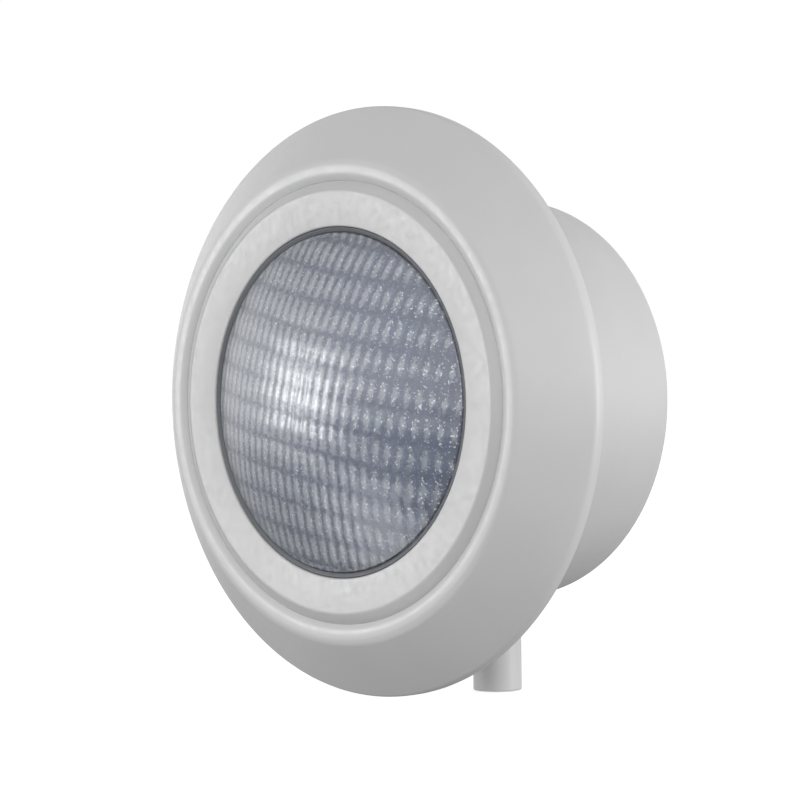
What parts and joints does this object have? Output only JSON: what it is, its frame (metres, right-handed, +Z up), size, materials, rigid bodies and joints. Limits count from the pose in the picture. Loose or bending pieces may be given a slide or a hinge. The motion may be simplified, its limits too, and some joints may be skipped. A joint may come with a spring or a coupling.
{
  "type": "underwater pool light",
  "caption": "Round white pool light with a conical cover ring, a raised bezel round a domed fluted lens, and a drum-shaped wall niche with a conduit stub.",
  "frame": {"origin": "on the light's axis, in the plane of the wall's face, which is the back of the niche flange", "axes": "+Y into the wall along the light's axis, +Z up, +X to the right as seen from the pool; the conduit stub points down"},
  "size_m": [0.29, 0.1545, 0.294],
  "materials": {
    "body_plastic": "satin moulded white ABS",
    "housing_plastic": "moulded light grey ABS",
    "lens_glass": "clear moulded glass with flutes",
    "mirror": "aluminised glass",
    "seal_rubber": "grey silicone",
    "brass": "machined",
    "steel": "stainless",
    "tungsten": "drawn wire",
    "gland_nylon": "black nylon",
    "lead_rubber": "insulated wire"
  },
  "bodies": {
    "niche": {"niche_shell": "body_plastic", "conduit_stub": "body_plastic", "niche_gland_body": "gland_nylon", "niche_gland_washer": "seal_rubber", "niche_gland_seal": "seal_rubber", "niche_gland_nut": "gland_nylon", "niche_insert_1": "brass", "niche_insert_2": "brass", "niche_insert_3": "brass", "niche_insert_4": "brass"},
    "light_unit": {"lamp_housing": "housing_plastic", "lamp_bezel": "body_plastic", "lens_gasket": "seal_rubber", "seat_gasket": "seal_rubber", "housing_seal": "seal_rubber", "lamp_lens": "lens_glass", "lamp_reflector": "mirror", "filament": "tungsten", "filament_post_1": "tungsten", "filament_post_2": "tungsten", "terminal_1": "brass", "terminal_2": "brass", "terminal_screw_1": "steel", "terminal_screw_2": "steel", "terminal_lug_1": "brass", "terminal_lug_2": "brass", "lead_wire_1": "lead_rubber", "lead_wire_2": "lead_rubber", "housing_gland_body": "gland_nylon", "housing_gland_washer": "seal_rubber", "housing_gland_seal": "seal_rubber", "housing_gland_nut": "gland_nylon", "housing_gland_locknut": "gland_nylon", "bezel_screw_1": "steel", "bezel_screw_2": "steel", "bezel_screw_3": "steel", "bezel_screw_4": "steel", "bezel_screw_5": "steel", "bezel_screw_6": "steel", "bezel_screw_7": "steel", "bezel_screw_8": "steel", "fixing_screw_1": "steel", "fixing_screw_2": "steel", "fixing_screw_3": "steel", "fixing_screw_4": "steel"},
    "cover": {"trim_ring": "body_plastic"}
  },
  "joints": [
    {"name": "light_unit_pullout", "type": "slide", "parent": "niche", "child": "light_unit", "axis": [0, -1, 0], "range_m": [0, 0.15]},
    {"name": "trim_ring_pulloff", "type": "slide", "parent": "light_unit", "child": "cover", "axis": [0, -1, 0], "range_m": [0, 0.06]}
  ]
}
